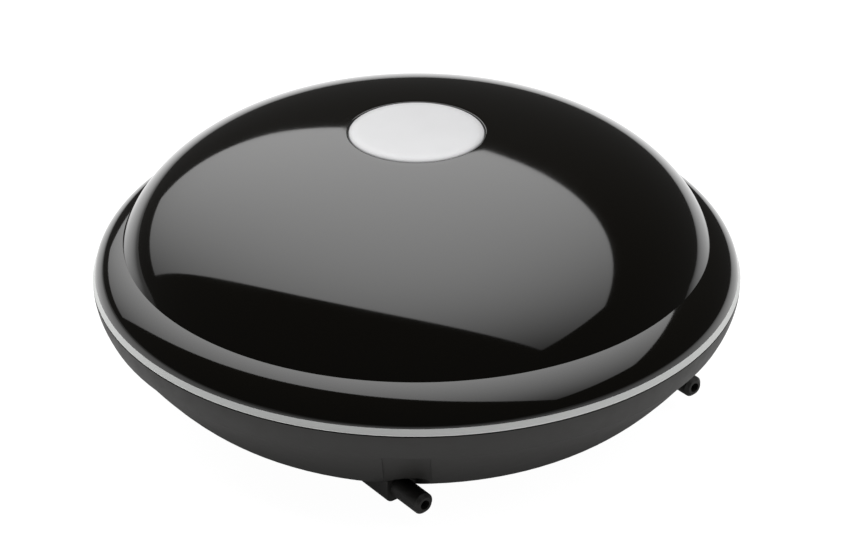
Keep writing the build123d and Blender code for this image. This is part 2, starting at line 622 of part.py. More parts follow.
def make_pivot_pins():
    top = MECH_Z + ARM_HEIGHT / 2
    pin = post(PIVOT_X, PIVOT_Y, PLATE_BOTTOM, top + 0.2, PIN_R)
    return both_sides(pin + post(PIVOT_X, PIVOT_Y, top + 0.2, top + 1.2, 2.8))


def make_diaphragm():
    """A rubber disc with a half-round roll that lets its middle move."""
    far = DIAPHRAGM_X + DIAPHRAGM_THICKNESS
    disc = rod_x(DIAPHRAGM_X, far, HEAD_Y, MECH_Z, DIAPHRAGM_R)
    disc -= rod_x(DIAPHRAGM_X - 1, far + 1, HEAD_Y, MECH_Z, ROLL_R + 0.9)
    middle = rod_x(DIAPHRAGM_X, far, HEAD_Y, MECH_Z, ROLL_R - 0.9)
    middle -= rod_x(DIAPHRAGM_X - 1, far + 1, HEAD_Y, MECH_Z, 2.0)
    centre = Pos(DIAPHRAGM_X, HEAD_Y, MECH_Z) * Rot(0, 90, 0)
    roll = centre * (Torus(ROLL_R, 1.9) - Torus(ROLL_R, 0.9))
    roll &= rod_x(DIAPHRAGM_X - 3, DIAPHRAGM_X, HEAD_Y, MECH_Z, DIAPHRAGM_R)
    return disc + middle + roll


def make_diaphragm_hub():
    """The stem from the arm's eye, with a clamping disc on each side of the diaphragm."""
    arm_face = ARM_X - ARM_THICKNESS / 2
    stem = rod_x(arm_face - 1.4, HEAD_X + 1.2, HEAD_Y, MECH_Z, 2.0)
    stem += rod_x(arm_face - 1.4, arm_face, HEAD_Y, MECH_Z, 3.2)
    stem += rod_x(DIAPHRAGM_X - 1.2, DIAPHRAGM_X, HEAD_Y, MECH_Z, HUB_R)
    return stem + rod_x(HEAD_X, HEAD_X + 1.2, HEAD_Y, MECH_Z, HUB_R)


def head_block(x0, x1):
    """A rounded square slice of a pump head, drilled for its four screws."""
    slab = block(x0, x1, HEAD_Y - HEAD_SIDE / 2, HEAD_Y + HEAD_SIDE / 2, MECH_Z - 15, MECH_Z + 15)
    slab = fillet(slab.edges().filter_by(Axis.X), 4.0)
    for y, z in head_screw_places():
        slab -= rod_x(x0 - 1, x1 + 1, y, z, 1.25)
    return slab


def make_pump_head():
    """The chamber the diaphragm works in, with an inlet and an outlet port."""
    head = head_block(HEAD_X, VALVE_X)
    head -= rod_x(HEAD_X - 1, HEAD_X + CHAMBER_DEPTH, HEAD_Y, MECH_Z, CHAMBER_R)
    for z in (MECH_Z - PORT_OFFSET, MECH_Z + PORT_OFFSET):
        head -= rod_x(HEAD_X, VALVE_X + 1, HEAD_Y, z, PORT_R)
    return head


def make_valve_plate():
    plate = head_block(VALVE_X, HEAD_COVER_X)
    for z in (MECH_Z - PORT_OFFSET, MECH_Z + PORT_OFFSET):
        plate -= rod_x(VALVE_X - 1, HEAD_COVER_X + 1, HEAD_Y, z, PORT_R)
    return plate


def make_inlet_flaps():
    """One-way flaps inside the chambers, over the lower ports."""
    face = HEAD_X + CHAMBER_DEPTH
    return both_sides(rod_x(face - FLAP_THICKNESS, face, HEAD_Y, MECH_Z - PORT_OFFSET, FLAP_R))


def make_outlet_flaps():
    """One-way flaps outside the valve plates, over the upper ports."""
    face = HEAD_COVER_X
    return both_sides(rod_x(face, face + FLAP_THICKNESS, HEAD_Y, MECH_Z + PORT_OFFSET, FLAP_R))


def make_head_cover():
    """The outer cap with an inlet pocket, an outlet pocket and the hose nipple."""
    cover = head_block(HEAD_COVER_X, HEAD_END_X)
    cover += rod_y(NIPPLE_X, HEAD_Y - 10, NIPPLE_END_Y, NIPPLE_Z, SPIGOT_R)
    for z in (MECH_Z - PORT_OFFSET, MECH_Z + PORT_OFFSET):
        cover -= rod_x(HEAD_COVER_X - 1, HEAD_COVER_X + 5.5, HEAD_Y, z, 4.5)
    cover -= rod_x(HEAD_COVER_X, HEAD_END_X + 1, HEAD_Y, MECH_Z - PORT_OFFSET, 2.0)
    return cover - rod_y(NIPPLE_X, HEAD_Y, NIPPLE_END_Y - 1, NIPPLE_Z, SPIGOT_BORE_R)


def make_head_screws():
    """Four screws through each pump head into its bracket."""
    length = HEAD_END_X - BRACKET_X
    one = screw(0, 0, 0, length, 1.0, 2.2, 1.5)
    right = [Pos(HEAD_END_X, y, z) * Rot(0, 90, 0) * one for y, z in head_screw_places()]
    return right + [mirror(piece, about=Plane.YZ) for piece in right]


# ---------------------------------------------------------------- air hoses and outlets
def make_air_hose():
    """The right-hand hose from the pump head's nipple down to the base's spigot."""
    start = (NIPPLE_X, HEAD_Y - HEAD_SIDE / 2 - 0.5, NIPPLE_Z)
    nipple_tip = (NIPPLE_X, NIPPLE_END_Y - 0.5, NIPPLE_Z)
    spigot_tip = (OUTLET_X, SPIGOT_Y, SPIGOT_TOP + 0.5)
    end = (OUTLET_X, SPIGOT_Y, SPIGOT_TOP - HOSE_GRIP)
    bend = Spline(nipple_tip, spigot_tip, tangents=[(0, -1, 0), (0, 0, -1)])
    path = Wire([Line(start, nipple_tip), bend, Line(spigot_tip, end)])
    return sweep_round(path, SPIGOT_R + HOSE_WALL, SPIGOT_R)


def make_outlet_nozzle():
    """A chamfered push-on outlet for airline tubing, set into its boss."""
    nozzle = rod_y(OUTLET_X, OUTLET_END_Y, BOSS_END_Y, OUTLET_Z, OUTLET_R)
    tip = nozzle.edges().sort_by(Axis.Y)[0]
    nozzle = chamfer(tip, OUTLET_CHAMFER)
    nozzle += rod_y(OUTLET_X, BOSS_END_Y, INSERT_END_Y, OUTLET_Z, INSERT_R)
    return nozzle - rod_y(OUTLET_X, OUTLET_END_Y - 1, INSERT_END_Y + 1, OUTLET_Z, OUTLET_BORE_R)


# ---------------------------------------------------------------- mains cord
def plug_frame():
    """Where the plug lies: flat on the table, its pins pointing along local +X."""
    x = PLUG_RADIUS * cos(radians(PLUG_BEARING))
    y = PLUG_RADIUS * sin(radians(PLUG_BEARING))
    return Plane(origin=(x, y, PLUG_HEIGHT / 2), x_dir=(y, -x, 0), z_dir=(0, 0, 1))


def make_strain_relief():
    """A ribbed rubber sleeve that grips the cord where it leaves the base."""
    inner_end = CORD_BOSS_Y - CORD_BOSS_LENGTH
    sleeve = rod_y(0, inner_end, CORD_BOSS_Y, CORD_Z, RELIEF_R)
    sleeve += rod_y(0, CORD_BOSS_Y, CORD_BOSS_Y + 1.6, CORD_Z, RELIEF_FLANGE_R)
    sleeve += rod_y(0, inner_end - 1.5, inner_end, CORD_Z, RELIEF_FLANGE_R)
    rib_pitch = 3.0
    for number in range(5):
        y = CORD_BOSS_Y + 1.6 + number * rib_pitch
        radius = 4.4 - 0.2 * number
        sleeve += rod_y(0, y, y + 1.8, CORD_Z, radius)
        sleeve += rod_y(0, y + 1.8, y + rib_pitch, CORD_Z, radius - 0.7)
    return sleeve - rod_y(0, CORD_BOSS_Y - 20, CORD_BOSS_Y + 30, CORD_Z, CORD_R)


def make_power_cord():
    """The cord from inside the base to the plug, resting on the table behind the pump."""
    place = plug_frame()
    entry = place.from_local_coords((-PLUG_LENGTH / 2 + 4.0, 0, 0))
    heading = place.x_dir
    approach = entry - heading * 8.0
    start = Vector(0, CORD_BOSS_Y - CORD_BOSS_LENGTH - 6.0, CORD_Z)
    leave = Vector(0, CORD_BOSS_Y + 17.0, CORD_Z)
    touchdown = Vector(13.0, CORD_BOSS_Y + 44.0, CORD_R + 0.9)
    bend = Spline(leave, touchdown, approach, tangents=[(0, 1, 0), heading])
    path = Wire([Line(start, leave), bend, Line(approach, entry)])
    return sweep_round(path, CORD_R)


def make_plug_body():
    """A flat two-pin plug, tapering to its cord."""
    half = PLUG_LENGTH / 2
    face = Plane.YZ.offset(half) * RectangleRounded(PLUG_WIDTH, PLUG_HEIGHT, 4.5)
    waist = Plane.YZ.offset(-2.0) * RectangleRounded(PLUG_WIDTH - 4.0, PLUG_HEIGHT, 4.5)
    tail = Plane.YZ.offset(-half) * RectangleRounded(11.0, 9.0, 3.5)
    body = loft([waist, face]) + loft([tail, waist])
    body -= rod_x(-half - 1, -half + 4.0, 0, 0, CORD_R)
    for y in (-PLUG_PIN_SPACING / 2, PLUG_PIN_SPACING / 2):
        body -= rod_x(half - 8.0, half + 1, y, 0, PLUG_PIN_R)
    return plug_frame().location * body


def make_plug_pins():
    half = PLUG_LENGTH / 2
    pins = []
    for y in (-PLUG_PIN_SPACING / 2, PLUG_PIN_SPACING / 2):
        pin = rod_x(half - 8.0, half + PLUG_PIN_LENGTH, y, 0, PLUG_PIN_R)
        pin = fillet(pin.edges().sort_by(Axis.X)[-1], 1.4)
        pins.append(plug_frame().location * pin)
    return pins


# ---------------------------------------------------------------- export
SINGLE = {
    "top_cover": make_top_cover,
    "trim_ring": make_trim_ring,
    "base_shell": make_base_shell,
    "cover_seal": make_cover_seal,
    "case_screws": make_case_screws,
    "foot_ring": make_foot_ring,
    "filter_cover": make_filter_cover,
    "filter_felt": make_filter_felt,
    "push_button": make_push_button,
    "button_guide": make_button_guide,
    "button_spring": make_button_spring,
    "control_board": make_control_board,
    "board_parts": make_board_parts,
    "tact_switch": make_tact_switch,
    "switch_plunger": make_switch_plunger,
    "status_leds": make_status_leds,
    "guide_screws": make_guide_screws,
    "board_screws": make_board_screws,
    "laminated_core": make_laminated_core,
    "coil_bobbin": make_coil_bobbin,
    "coil_winding": make_coil_winding,
    "core_straps": make_core_straps,
    "strap_screws": make_strap_screws,
    "pump_frame": make_pump_frame,
    "frame_mounts": make_frame_mounts,
    "arm_pivot_pins": make_pivot_pins,
    "inlet_flaps": make_inlet_flaps,
    "outlet_flaps": make_outlet_flaps,
    "head_screws": make_head_screws,
    "strain_relief": make_strain_relief,
    "power_cord": make_power_cord,
    "plug_body": make_plug_body,
    "plug_pins": make_plug_pins,
}

# Pieces that come in a left and right pair; the left one is the mirror image.
PAIRED = {
    "swing_arm": make_swing_arm,
    "arm_magnet": make_arm_magnet,
    "diaphragm": make_diaphragm,
    "diaphragm_hub": make_diaphragm_hub,
    "pump_head": make_pump_head,
    "valve_plate": make_valve_plate,
    "head_cover": make_head_cover,
    "air_hose": make_air_hose,
    "outlet_nozzle": make_outlet_nozzle,
}


def write(node, shape):
    """One STEP file per node; a list of shapes becomes a group of separate solids."""
    if isinstance(shape, list):
        shape = Compound(children=[solid for piece in shape for solid in piece.solids()])
    export_step(shape, f"parts/{node}.step")


def main():
    os.makedirs("parts", exist_ok=True)
    for node, make in SINGLE.items():
        write(node, make())
    for node, make in PAIRED.items():
        right, left = both_sides(make())
        write(node + "_right", right)
        write(node + "_left", left)


if __name__ == "__main__":
    main()
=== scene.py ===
"""Looks of a round two-outlet aquarium air pump: a material for every part, a studio and a camera."""

import math

import bmesh
import bpy
from mathutils import Matrix, Vector
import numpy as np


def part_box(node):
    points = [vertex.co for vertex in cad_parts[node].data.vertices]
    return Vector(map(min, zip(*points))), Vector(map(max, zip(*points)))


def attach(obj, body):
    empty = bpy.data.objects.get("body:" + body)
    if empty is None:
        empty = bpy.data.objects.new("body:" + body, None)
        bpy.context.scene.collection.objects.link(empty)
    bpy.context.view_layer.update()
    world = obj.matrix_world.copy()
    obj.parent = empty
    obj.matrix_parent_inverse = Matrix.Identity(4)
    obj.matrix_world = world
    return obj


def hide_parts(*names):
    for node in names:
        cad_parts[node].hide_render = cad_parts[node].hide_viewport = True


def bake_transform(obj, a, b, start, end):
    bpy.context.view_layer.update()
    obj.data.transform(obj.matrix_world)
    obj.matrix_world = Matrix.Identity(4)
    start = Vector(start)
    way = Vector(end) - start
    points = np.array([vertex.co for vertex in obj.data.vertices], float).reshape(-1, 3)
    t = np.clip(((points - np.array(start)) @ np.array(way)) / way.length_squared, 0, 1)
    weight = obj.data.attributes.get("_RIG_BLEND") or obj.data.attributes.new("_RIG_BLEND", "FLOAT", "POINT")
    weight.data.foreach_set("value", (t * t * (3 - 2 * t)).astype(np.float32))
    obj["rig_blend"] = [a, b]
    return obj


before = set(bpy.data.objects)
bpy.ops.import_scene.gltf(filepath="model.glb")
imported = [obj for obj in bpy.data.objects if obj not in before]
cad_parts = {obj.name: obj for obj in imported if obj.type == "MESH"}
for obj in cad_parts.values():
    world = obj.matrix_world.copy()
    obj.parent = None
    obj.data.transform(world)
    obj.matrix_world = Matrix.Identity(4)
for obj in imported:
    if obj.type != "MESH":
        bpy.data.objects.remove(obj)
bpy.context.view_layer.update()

MERGE_DISTANCE = 1e-7

# --- the view: angles in degrees, lengths in metres, the lens and its sensor in millimetres ------
VIEW_AZIMUTH = -37.3
VIEW_ELEVATION = 29.155
VIEW_DISTANCE = 0.6042
VIEW_TARGET = Vector((0.0015, -0.0012, 0.0279))
SENSOR_WIDTH = 36.0
LENS = 102.99

# --- the turned pieces, in metres ----------------------------------------------------------------
SPIN_STEPS = 360
CURVE_STEPS = 40
SHARP_ANGLE = math.radians(28)
RING_BOTTOM, RING_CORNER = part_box("trim_ring")
RING_Z, RING_TOP, RING_R = RING_BOTTOM.z, RING_CORNER.z, RING_CORNER.x
RING_INNER_R = 0.0760
RING_EDGE_R, RING_EDGE_LEAN = 0.00018, 0.4
RIM_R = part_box("top_cover")[1].x
CREASE_R, CREASE_Z = 0.0720, RING_Z + 0.00915
CROWN_R, POLE_Z = 0.0384, RING_Z + 0.0363
COVER_WALL = 0.0020
HOLE_R, HOLE_EDGE = 0.0167, 0.00025
BUTTON_R, BUTTON_PROUD = 0.0164, 0.0001
BUTTON_BEVEL, BUTTON_DROP = 0.0024, 0.0010
BUTTON_CROWN_DROP = 0.00018
BEVEL_BEND_IN, BEVEL_BEND_DROP = 0.0003, 0.00012
BUTTON_WALL, BUTTON_SKIRT_Z = 0.0016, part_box("push_button")[0].z

# The cover's outline from its lip up to its pole. Each control point has a radius and a height, then the
# shares of an inset that move the point inwards and down where the outline is drawn for the inner wall.
LIP = (RIM_R, RING_TOP, 1.0, 0.0)
LIP_BEND = (RIM_R, RING_TOP + 0.00021, 1.0, 0.05)
KNEE = (RIM_R - 0.00024, RING_TOP + 0.00096, 0.95, 0.31)
LOW_SWELL = (RIM_R - 0.00112, RING_TOP + 0.00371, 0.86, 0.6)
HIGH_SWELL = (CREASE_R + 0.00317, CREASE_Z - 0.00098, 0.45, 0.9)
CREASE = (CREASE_R, CREASE_Z, 0.72, 0.82)
HAUNCH = (CREASE_R - 0.0081, CREASE_Z + 0.01765, 0.75, 0.65)
CROWN = (CROWN_R, POLE_Z, 0.0, 1.0)
POLE = (0.0, POLE_Z, 0.0, 1.0)

# --- the soft pieces, in metres ------------------------------------------------------------------
COIL_R, COIL_TURNS, COIL_STEPS = 0.0062, 4, 60
WIRE_R, WIRE_SIDES = 0.0003, 12
DISC_R, STEM_R, DISC_STEPS = 0.0140, 0.0020, 120
ROLL_R, ROLL_OUT, ROLL_IN, ROLL_STEPS = 0.0091, 0.0019, 0.0009, 16

# --- the studio ----------------------------------------------------------------------------------
STUDIO_RADIUS = 8.0
FLOOR_REACH = 6.0
FLOOR_BACK_AZIMUTH, FLOOR_BACK_DISTANCE = 20.0, 0.62
FLOOR_SHADES = ((0.11, 0.11, 0.11), (0.13, 0.13, 0.13))
FLOOR_GLOW, FLOOR_GLOW_FAR, FLOOR_GLOW_SEEN = 1.02, 0.10, 0.98
# In reflections the floor's glow is a painted pool of light: brightest round the pump, and dimmer with the
# distance from its axis.
GLOW_START, GLOW_END = 0.10, 0.90
# Under the pump the floor's glow holds a painted shade, which ends between these two distances from the axis.
SHADE_START, SHADE_END, SHADE_GLOW = 0.058, 0.112, 0.12
SURROUNDINGS, SURROUNDINGS_SEEN = 0.06, 1.0
PANEL_RADIANCE = 4.2
PANEL_FALLOFF = 1.42
# Directions as (azimuth, elevation) in degrees. Azimuth 0 points away from the camera and 90 to its right.
PANEL_BRIGHTEST = (-6.0, 71.0)
PANEL_CORNERS = ((-63.0, 8.0), (-34.0, 6.6), (-14.7, 18.7), (94.0, 33.7), (130.7, 28.5))
PANEL_EDGE_STEPS = 24
PANEL_RINGS = 12

# --- surfaces ------------------------------------------------------------------------------------
# Most of a noise texture's values lie between these two.
NOISE_LOW, NOISE_HIGH = 0.3, 0.7
# The silver ring's brushing marks are this wide, in metres.
BRUSH_WIDTH = 0.000125


# --- helpers for shader nodes --------------------------------------------------------------------
def new_material(name):
    """A material with an empty Principled surface: (material, nodes, links, surface)."""
    made = bpy.data.materials.new(name)
    made.use_nodes = True
    nodes = made.node_tree.nodes
    return made, nodes, made.node_tree.links, nodes["Principled BSDF"]


def add(nodes, kind, **inputs):
    """A shader node of this kind, with its inputs set by name (underscores stand for spaces)."""
    node = nodes.new(kind)
    for name, value in inputs.items():
        node.inputs[name.replace("_", " ")].default_value = value
    return node


def feed(links, value, socket):
    """Sets an input to a number, or links it to another node's output."""
    if isinstance(value, float):
        socket.default_value = value
    else:
        links.new(value, socket)


def calculate(nodes, links, operation, first, second):
    """The result of an operation on two values, each a number or an output."""
    made = nodes.new("ShaderNodeMath")
    made.operation = operation
    feed(links, first, made.inputs[0])
    feed(links, second, made.inputs[1])
    return made.outputs["Value"]


def map_range(nodes, links, value, start, end, first, second, smooth=False):
    """A value that goes from first to second as the given one goes from start to end."""
    made = add(nodes, "ShaderNodeMapRange", From_Min=start, From_Max=end, To_Max=second)
    made.interpolation_type = "SMOOTHSTEP" if smooth else "LINEAR"
    feed(links, first, made.inputs["To Min"])
    links.new(value, made.inputs["Value"])
    return made.outputs["Result"]


def object_point(nodes):
    """The point being shaded, in metres."""
    return nodes.new("ShaderNodeTexCoord").outputs["Object"]


def place(nodes, links, stretch=(1, 1, 1)):
    """The point being shaded, in metres, stretched along each axis."""
    mapping = add(nodes, "ShaderNodeMapping", Scale=stretch)
    links.new(object_point(nodes), mapping.inputs["Vector"])
    return mapping.outputs["Vector"]


def noise(nodes, links, size, detail=3.0, stretch=(1, 1, 1), vector=None):
    """Cloudy noise whose blotches are about `size` across, in metres unless it has its own vector."""
    made = add(nodes, "ShaderNodeTexNoise", Scale=1.0 / size, Detail=detail)
    links.new(vector or place(nodes, links, stretch), made.inputs["Vector"])
    return made.outputs["Fac"]


def spread(nodes, links, value, low, high):
    """Maps a noise value onto the range from low to high."""
    return map_range(nodes, links, value, NOISE_LOW, NOISE_HIGH, low, high)


def mix_colours(nodes, links, value, first, second):
    """A colour that goes from first to second with a noise value."""
    ramp = nodes.new("ShaderNodeValToRGB")
    for stop, position, colour in zip(ramp.color_ramp.elements, (NOISE_LOW, NOISE_HIGH), (first, second)):
        stop.position = position
        stop.color = (*colour, 1)
    links.new(value, ramp.inputs["Fac"])
    return ramp.outputs["Color"]


def bump(nodes, links, surface, height, depth):
    """Dents the surface by `depth` metres times the height value."""
    made = add(nodes, "ShaderNodeBump", Strength=1.0, Distance=depth)
    links.new(height, made.inputs["Height"])
    links.new(made.outputs["Normal"], surface.inputs["Normal"])


def colour_and_roughness(nodes, links, surface, value, shades, roughness):
    """Lets a noise value set both the surface's colour, between two shades, and its roughness."""
    links.new(mix_colours(nodes, links, value, *shades), surface.inputs["Base Color"])
    links.new(spread(nodes, links, value, *roughness), surface.inputs["Roughness"])


def plastic(name, shades, roughness, grain, depth, blotch=0.004, **extra):
    """Moulded plastic or rubber: two close shades, a roughness range and a fine moulded grain."""
    made, nodes, links, surface = new_material(name)
    colour_and_roughness(nodes, links, surface, noise(nodes, links, blotch), shades, roughness)
    bump(nodes, links, surface, noise(nodes, links, grain, detail=2.0), depth)
    for setting, value in extra.items():
        surface.inputs[setting.replace("_", " ")].default_value = value
    return made


def metal(name, shades, roughness, stretch=(1, 1, 1), size=0.002):
    """Bare metal with brushing or drawing marks that run along the least stretched axis."""
    made, nodes, links, surface = new_material(name)
    surface.inputs["Metallic"].default_value = 1.0
    marks = noise(nodes, links, size, detail=6.0, stretch=stretch)
    colour_and_roughness(nodes, links, surface, marks, shades, roughness)
    return made


def ribs(made, axis, scale, distortion, depth):
    """Adds fine parallel ribs across an axis to a material, as layers or turns of wire have."""
    nodes, links = made.node_tree.nodes, made.node_tree.links
    waves = add(nodes, "ShaderNodeTexWave", Scale=scale, Distortion=distortion)
    waves.bands_direction = axis
    links.new(place(nodes, links), waves.inputs["Vector"])
    bump(nodes, links, nodes["Principled BSDF"], waves.outputs["Fac"], depth)
    return made


# --- materials, one function for each kind of surface --------------------------------------------
def gloss_black():
    """Polished black plastic with the faint waviness of a moulded shell."""
    made, nodes, links, surface = new_material("gloss_black_polished")
    surface.inputs["Base Color"].default_value = (0.0020, 0.0016, 0.0009, 1)
    surface.inputs["IOR"].default_value = 1.5
    haze = noise(nodes, links, size=0.015)
    links.new(spread(nodes, links, haze, low=0.05, high=0.07), surface.inputs["Roughness"])
    bump(nodes, links, surface, noise(nodes, links, size=0.012, detail=1.0), depth=0.000004)
    return made


def matte_black():
    """Dark plastic with the fine even grain of a spark-eroded mould."""
    return plastic(
        "matte_black_grained",
        shades=((0.0135, 0.0128, 0.0115), (0.0175, 0.0165, 0.0150)),
        roughness=(0.5, 0.58),
        grain=0.0003,
        depth=0.000004,
        Specular_IOR_Level=0.4,
    )


def satin_silver():
    """Satin metal with fine brushing that runs round the ring."""
    made, nodes, links, surface = new_material("satin_silver_brushed")
    surface.inputs["Metallic"].default_value = 1.0
    parts = nodes.new("ShaderNodeSeparateXYZ")
    links.new(object_point(nodes), parts.inputs["Vector"])
    wrapped = nodes.new("ShaderNodeCombineXYZ")
    angle = calculate(nodes, links, "ARCTAN2", parts.outputs["Y"], parts.outputs["X"])
    links.new(angle, wrapped.inputs["X"])
    height = calculate(nodes, links, "MULTIPLY", parts.outputs["Z"], 1 / BRUSH_WIDTH)
    links.new(height, wrapped.inputs["Y"])
    marks = noise(nodes, links, size=1.0, detail=4.0, vector=wrapped.outputs["Vector"])
    shades = ((0.70, 0.71, 0.70), (0.77, 0.78, 0.77))
    colour_and_roughness(nodes, links, surface, marks, shades, roughness=(0.48, 0.56))
    return made


def white_cap():
    """Off-white plastic with a soft satin face."""
    return plastic(
        "white_cap_satin",
        shades=((0.40, 0.40, 0.405), (0.415, 0.415, 0.42)),
        roughness=(0.3, 0.38),
        grain=0.0004,
        depth=0.000002,
        blotch=0.01,
    )


def dark_rubber():
    """Soft black rubber with a dusty grain."""
    return plastic(
        "dark_rubber_dusty",
        shades=((0.018, 0.018, 0.018), (0.03, 0.03, 0.03)),
        roughness=(0.75, 0.9),
        grain=0.0002,
        depth=0.00002,
    )


def felt():
    """Pressed white fibres."""
    return plastic(
        "felt_fibres",
        shades=((0.62, 0.62, 0.58), (0.82, 0.82, 0.78)),
        roughness=(0.9, 1.0),
        grain=0.0002,
        depth=0.0001,
        blotch=0.0006,
        Sheen_Weight=0.5,
    )


def steel():
    """Bright zinc-plated steel wire and screws."""
    return metal(
        "steel_plated",
        shades=((0.52, 0.53, 0.55), (0.66, 0.67, 0.68)),
        roughness=(0.22, 0.35),
        stretch=(1, 1, 6),
    )


def core_steel():
    """The oiled edges of stacked steel sheets."""
    made = metal(
        "core_steel_sheets",
        shades=((0.12, 0.12, 0.125), (0.22, 0.22, 0.23)),
        roughness=(0.35, 0.5),
        stretch=(1, 1, 8),
        size=0.003,
    )
    return ribs(made, axis="Z", scale=320.0, distortion=0.3, depth=0.00005)


def magnet():
    """Nickel plating over a pressed magnet."""
    return metal(
        "magnet_nickel",
        shades=((0.62, 0.61, 0.58), (0.7, 0.69, 0.66)),
        roughness=(0.12, 0.22),
        size=0.004,
    )


def copper():
    """Turns of enamelled copper wire."""
    made = metal(
        "copper_turns",
        shades=((0.5, 0.19, 0.07), (0.72, 0.33, 0.14)),
        roughness=(0.2, 0.35),
        stretch=(1, 1, 10),
        size=0.001,
    )
    return ribs(made, axis="Y", scale=900.0, distortion=0.6, depth=0.00008)


def frame_plastic():
    """Grey engineering plastic."""
    return plastic(
        "frame_plastic_moulded",
        shades=((0.09, 0.09, 0.1), (0.13, 0.13, 0.135)),
        roughness=(0.4, 0.55),
        grain=0.0004,
        depth=0.000008,
    )


def guide_plastic():
    """Natural acetal, a milky white."""
    return plastic(
        "guide_plastic_milky",
        shades=((0.6, 0.6, 0.57), (0.68, 0.68, 0.66)),
        roughness=(0.35, 0.45),
        grain=0.0005,
        depth=0.000004,
    )


def board_green():
    """Solder mask over glass cloth, whose weave shows faintly."""
    made, nodes, links, surface = new_material("board_green_mask")
    weave = add(
        nodes,
        "ShaderNodeTexChecker",
        Scale=1600.0,
        Color1=(0.010, 0.085, 0.03, 1),
        Color2=(0.014, 0.105, 0.036, 1),
    )
    links.new(place(nodes, links), weave.inputs["Vector"])
    links.new(weave.outputs["Color"], surface.inputs["Base Color"])
    haze = noise(nodes, links, size=0.003)
    links.new(spread(nodes, links, haze, low=0.25, high=0.4), surface.inputs["Roughness"])
    return made


def component():
    """Black moulded epoxy."""
    return plastic(
        "component_epoxy",
        shades=((0.02, 0.02, 0.022), (0.035, 0.035, 0.037)),
        roughness=(0.45, 0.6),
        grain=0.0002,
        depth=0.00001,
    )


def lamp():
    """Water-clear lamp bodies with a cool tint."""
    return plastic(
        "lamp_clear",
        shades=((0.75, 0.85, 0.95), (0.85, 0.92, 1.0)),
        roughness=(0.05, 0.12),
        grain=0.001,
        depth=0.000002,
        Transmission_Weight=0.85,
    )


def silicone():
    """Translucent silicone."""
    return plastic(
        "silicone_milky",
        shades=((0.62, 0.64, 0.62), (0.72, 0.74, 0.72)),
        roughness=(0.35, 0.5),
        grain=0.0008,
        depth=0.000006,
        Transmission_Weight=0.4,
    )


def cord_rubber():
    """Black flexible vinyl."""
    return plastic(
        "cord_rubber_vinyl",
        shades=((0.016, 0.016, 0.017), (0.024, 0.024, 0.025)),
        roughness=(0.4, 0.5),
        grain=0.0005,
        depth=0.000015,
    )


def pin_metal():
    """Drawn nickel-plated brass."""
    return metal(
        "pin_metal_drawn",
        shades=((0.6, 0.58, 0.52), (0.72, 0.7, 0.64)),
        roughness=(0.15, 0.28),
        stretch=(6, 6, 1),
    )


# Each function has the name of the slot that it makes the material for.
SLOT_MATERIALS = (
    gloss_black,
    matte_black,
    satin_silver,
    white_cap,
    dark_rubber,
    felt,
    steel,
    core_steel,
    magnet,
    copper,
    frame_plastic,
    guide_plastic,
    board_green,
    component,
    lamp,
    silicone,
    cord_rubber,
    pin_metal,
)


def dress_nodes(finished):
    """Gives each CAD node the finished material of its own slot."""
    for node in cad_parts.values():
        for material_slot in node.material_slots:
            slot = material_slot.material.name.split(".")[0]
            material_slot.material = finished[slot]


# --- helpers for meshes --------------------------------------------------------------------------
def direction(azimuth, elevation):
    """A unit vector, from degrees seen from the camera: azimuth 0 is away from it and 90 is to its right."""
    heading = math.radians(azimuth - VIEW_AZIMUTH)
    rise = math.radians(elevation)
    level = math.cos(rise)
    return Vector((math.sin(heading) * level, math.cos(heading) * level, math.sin(rise)))


def add_mesh(name, points, faces):
    """A new mesh object in the scene."""
    mesh = bpy.data.meshes.new(name)
    mesh.from_pydata([tuple(point) for point in points], [], faces)
    made = bpy.data.objects.new(name, mesh)
    bpy.context.scene.collection.objects.link(made)
    return made


def bezier(*points):
    """Points along a Bezier curve through any number of control points."""
    curve = []
    for step in range(CURVE_STEPS + 1):
        level = [Vector(point) for point in points]
        while len(level) > 1:
            level = [first.lerp(second, step / CURVE_STEPS) for first, second in zip(level, level[1:])]
        curve.append(level[0])
    return curve


def tidy_mesh(piece, material):
    """Joins doubled points, deletes loose edges, turns all faces outwards and shades the piece smoothly."""
    shape = bmesh.new()
    shape.from_mesh(piece.data)
    bmesh.ops.remove_doubles(shape, verts=shape.verts, dist=MERGE_DISTANCE)
    bmesh.ops.dissolve_degenerate(shape, edges=shape.edges, dist=MERGE_DISTANCE)
    loose = [edge for edge in shape.edges if not edge.link_faces]
    bmesh.ops.delete(shape, geom=loose, context="EDGES")
    bmesh.ops.recalc_face_normals(shape, faces=shape.faces)
    shape.to_mesh(piece.data)
    shape.free()
    piece.data.shade_smooth()
    piece.data.set_sharp_from_angle(angle=SHARP_ANGLE)
    piece.data.materials.append(material)


def turned(name, outline, material, steps=SPIN_STEPS):
    """A closed (radius, height) outline turned about the Z axis."""
    count = len(outline)
    points = []
    for step in range(steps):
        angle = 2 * math.pi * step / steps
        points += [(radius * math.cos(angle), radius * math.sin(angle), height) for radius, height in outline]
    faces = []
    for step in range(steps):
        here, there = step * count, (step + 1) % steps * count
        for i in range(count):
            after = (i + 1) % count
            faces.append((here + i, there + i, there + after, here + after))
    piece = add_mesh(name, points, faces)
    tidy_mesh(piece, material)
    return piece


def spin(name, outline, node, body, material):
    """Turns an outline about the pump's axis, in place of a CAD node."""
    piece = turned(name, outline, material)
    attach(piece, body)
    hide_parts(node)


